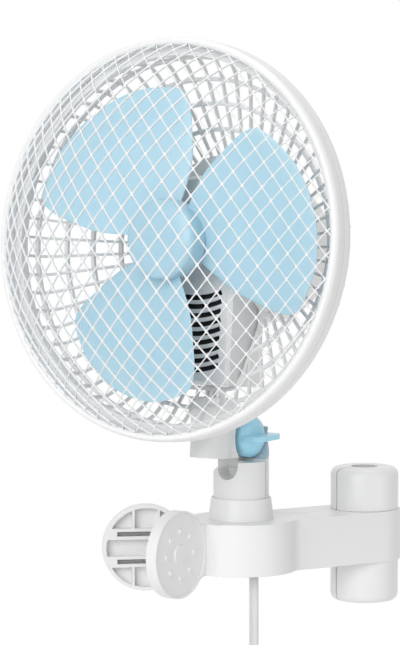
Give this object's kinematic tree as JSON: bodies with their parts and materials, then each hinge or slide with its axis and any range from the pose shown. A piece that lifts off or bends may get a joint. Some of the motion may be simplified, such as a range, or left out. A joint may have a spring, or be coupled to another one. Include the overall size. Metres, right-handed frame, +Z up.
{
  "type": "clip fan",
  "caption": "Oscillating clip fan: netted guard and three-blade propeller on a tilting neck, carried by a sprung clip that grips a round pole.",
  "frame": {"origin": "centre of the pole clamp", "axes": "+Z up along the pole, the clip runs along -X from the pole to the neck, -Y is the front"},
  "size_m": [0.2322, 0.2108, 0.5098],
  "materials": {
    "white_plastic": "satin moulded ABS",
    "white_guard": "satin moulded polypropylene",
    "white_pad": "satin moulded plastic",
    "blue_plastic": "pale blue moulded plastic",
    "dial_plastic": "matt moulded plastic",
    "spring_steel": "drawn spring wire",
    "bright_steel": "turned bright steel",
    "screw_steel": "zinc plated",
    "brass": "turned brass",
    "lamination": "stacked electrical steel",
    "copper": "enamelled copper wire",
    "motor_metal": "pressed zinc plated steel",
    "cord_plastic": "soft white PVC",
    "tie_plastic": "moulded tie"
  },
  "bodies": {
    "root": {"front_clip": "white_plastic", "front_pad": "white_pad", "front_pad_screws": "screw_steel", "clip_pivot_pin": "bright_steel", "clip_spring": "spring_steel", "neck_collar": "white_plastic", "strain_relief": "cord_plastic", "power_cord_drop": "cord_plastic", "power_cord_coil": "cord_plastic", "cord_tie": "tie_plastic", "mains_plug": "cord_plastic", "plug_pins": "brass"},
    "rear_jaw": {"back_clip": "white_plastic", "back_pad": "white_pad", "back_pad_screws": "screw_steel"},
    "neck": {"neck_front": "white_plastic", "neck_rear": "white_plastic", "neck_screws": "screw_steel", "tilt_washer": "bright_steel"},
    "bracket": {"tilt_bracket": "white_plastic", "tilt_bolt": "bright_steel", "osc_stem": "bright_steel"},
    "tilt_lock": {"tilt_knob": "blue_plastic", "knob_insert": "brass"},
    "head": {"front_grille": "white_guard", "rear_grille": "white_guard", "ring_screws": "screw_steel", "motor_front_cover": "white_plastic", "motor_rear_cover": "white_plastic", "cover_screws": "screw_steel", "stator_core": "lamination", "stator_windings": "copper", "motor_front_bracket": "motor_metal", "motor_rear_bracket": "motor_metal", "bearing_bushes": "brass", "gearbox_case": "white_plastic", "speed_switch": "dial_plastic"},
    "rotor": {"rotor": "lamination", "motor_shaft": "bright_steel", "propeller": "blue_plastic", "shaft_worm": "brass"},
    "worm_gear": {"worm_gear": "dial_plastic"},
    "crank_gear": {"crank_gear": "bright_steel"},
    "link_arm": {"link_arm": "bright_steel"},
    "oscillation_knob": {"oscillation_knob": "white_plastic"},
    "speed_knob": {"speed_knob": "dial_plastic"}
  },
  "joints": [
    {"name": "clip_squeeze", "type": "hinge", "parent": "root", "child": "rear_jaw", "pos_m": [-0.087, 0, 0], "axis": [0, 0, 1], "range_deg": [0, 14], "stiffness_Nm_per_rad": 4, "springref_deg": -28.65, "deforming": ["clip_spring"]},
    {"name": "neck_turn", "type": "hinge", "parent": "root", "child": "neck", "pos_m": [-0.087, 0, 0], "axis": [0, 0, 1], "range_deg": [-90, 90]},
    {"name": "head_tilt", "type": "hinge", "parent": "neck", "child": "bracket", "pos_m": [-0.087, 0, 0.063], "axis": [0.4289, -0.9033, 0], "range_deg": [-40, 20]},
    {"name": "tilt_lock_turn", "type": "hinge", "parent": "bracket", "child": "tilt_lock", "pos_m": [-0.087, 0, 0.063], "axis": [0.4289, -0.9033, 0], "range_deg": [0, 360]},
    {"name": "oscillation", "type": "hinge", "parent": "bracket", "child": "head", "pos_m": [-0.11578, -0.01367, 0.06596], "axis": [0.0834, 0.0396, 0.9957], "range_deg": [-40, 40]},
    {"name": "propeller_spin", "type": "hinge", "parent": "head", "child": "rotor", "pos_m": [-0.15976, -0.03455, 0.17994], "axis": [-0.8995, -0.4271, 0.0924], "continuous": true},
    {"name": "worm_gear_spin", "type": "hinge", "parent": "head", "child": "worm_gear", "pos_m": [-0.06714, 0.01995, 0.17001], "axis": [0.0834, 0.0396, 0.9957], "continuous": true},
    {"name": "crank_gear_spin", "type": "hinge", "parent": "head", "child": "crank_gear", "pos_m": [-0.07341, 0.00645, 0.17107], "axis": [0.0834, 0.0396, 0.9957], "continuous": true},
    {"name": "link_swing", "type": "hinge", "parent": "bracket", "child": "link_arm", "pos_m": [-0.10409, -0.00811, 0.06475], "axis": [0.0834, 0.0396, 0.9957], "range_deg": [-41, 41]},
    {"name": "oscillation_pull", "type": "slide", "parent": "head", "child": "oscillation_knob", "axis": [0.0834, 0.0396, 0.9957], "range_m": [0, 0.004]},
    {"name": "speed_dial", "type": "hinge", "parent": "head", "child": "speed_knob", "pos_m": [-0.04982, 0.01766, 0.19275], "axis": [0.8995, 0.4271, -0.0924], "range_deg": [0, 90]}
  ],
  "couplings": [
    {"joint": "worm_gear_spin", "follows": "propeller_spin", "ratio": 0.05},
    {"joint": "crank_gear_spin", "follows": "propeller_spin", "ratio": -0.011111},
    {"joint": "link_swing", "follows": "oscillation", "ratio": 1}
  ]
}
